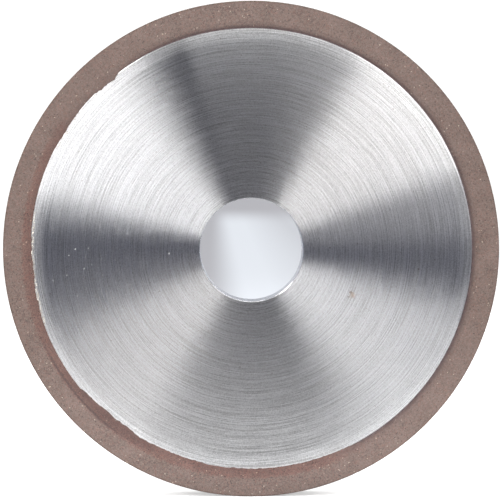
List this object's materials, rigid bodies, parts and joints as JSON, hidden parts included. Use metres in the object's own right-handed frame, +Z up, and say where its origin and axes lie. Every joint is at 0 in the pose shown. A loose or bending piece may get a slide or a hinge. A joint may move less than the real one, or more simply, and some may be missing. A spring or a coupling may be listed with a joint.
{
  "type": "diamond grinding wheel",
  "caption": "Straight grinding wheel: a flat aluminium disc with a plain central bore, ringed by a resin-bonded diamond rim.",
  "frame": {"origin": "centre of the wheel, on the bore's axis and halfway through its width", "axes": "+Y along the bore, the axis the wheel spins about; +X to the right and +Z up when the front face is seen square on"},
  "size_m": [0.1524, 0.0126, 0.1524],
  "materials": {
    "core_aluminium": "turned, with fine concentric tool marks",
    "cement": "matte",
    "plain_resin": "matte",
    "diamond_resin": "matte"
  },
  "bodies": {
    "root": {"core": "core_aluminium", "cement_layer": "cement", "backing_ring": "plain_resin", "diamond_rim": "diamond_resin"}
  },
  "joints": []
}
